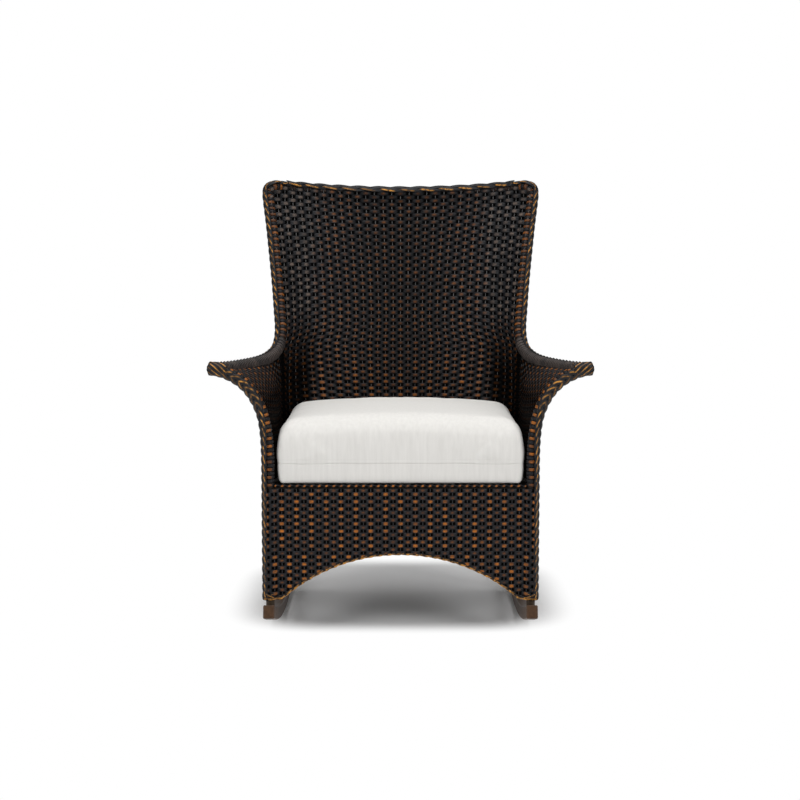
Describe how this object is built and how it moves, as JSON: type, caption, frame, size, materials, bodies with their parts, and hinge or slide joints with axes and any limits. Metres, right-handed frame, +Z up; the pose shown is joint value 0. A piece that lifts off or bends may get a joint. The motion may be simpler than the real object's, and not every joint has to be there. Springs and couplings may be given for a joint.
{
  "type": "rocking chair",
  "caption": "Woven lounge rocker with a reclined barrel back, rolled arms, an arched woven apron, bent wooden rockers and a loose seat cushion.",
  "frame": {"origin": "on the floor, under the middle of the chair's bounding box", "axes": "+X to the sitter's left, +Y towards the back, +Z up; the chair faces -Y and is mirrored in X = 0"},
  "size_m": [0.8908, 0.8785, 1.0789],
  "materials": {
    "rocker_wood": "satin",
    "frame_tube": "satin",
    "plug_plastic": "matte",
    "bolt_steel": "satin",
    "webbing": "matte",
    "woven_strand": "satin",
    "braid_strand": "satin",
    "cushion_fabric": "matte",
    "cushion_filling": "matte"
  },
  "bodies": {
    "chair": {"apron_bead": "braid_strand", "arch_rod_front": "frame_tube", "arch_rod_left": "frame_tube", "arch_rod_rear": "frame_tube", "arch_rod_right": "frame_tube", "arch_trim_front": "braid_strand", "arch_trim_left": "braid_strand", "arch_trim_rear": "braid_strand", "arch_trim_right": "braid_strand", "front_braid_left": "braid_strand", "front_braid_right": "braid_strand", "front_post_left": "frame_tube", "front_post_right": "frame_tube", "front_wrap_left": "woven_strand", "front_wrap_right": "woven_strand", "leg_plugs": "plug_plastic", "rear_leg_left": "frame_tube", "rear_leg_right": "frame_tube", "rim_braid_left": "braid_strand", "rim_braid_right": "braid_strand", "rim_rail_left": "frame_tube", "rim_rail_right": "frame_tube", "rim_wrap_left": "woven_strand", "rim_wrap_right": "woven_strand", "rocker_bolts": "bolt_steel", "rocker_left": "rocker_wood", "rocker_right": "rocker_wood", "seat_rail_front": "frame_tube", "seat_rail_left": "frame_tube", "seat_rail_rear": "frame_tube", "seat_rail_right": "frame_tube", "top_braid": "braid_strand", "top_rail": "frame_tube", "top_wrap": "woven_strand", "webbing_across": "webbing", "webbing_along": "webbing", "woven_apron": "woven_strand", "woven_back": "woven_strand", "woven_rear_skirt": "woven_strand", "woven_side_left": "woven_strand", "woven_side_right": "woven_strand"},
    "cushion": {"cushion_cover": "cushion_fabric", "cushion_core": "cushion_filling"}
  },
  "joints": [
    {"name": "cushion_lift", "type": "slide", "parent": "chair", "child": "cushion", "axis": [0, 0, 1], "range_m": [0, 0.32]}
  ]
}
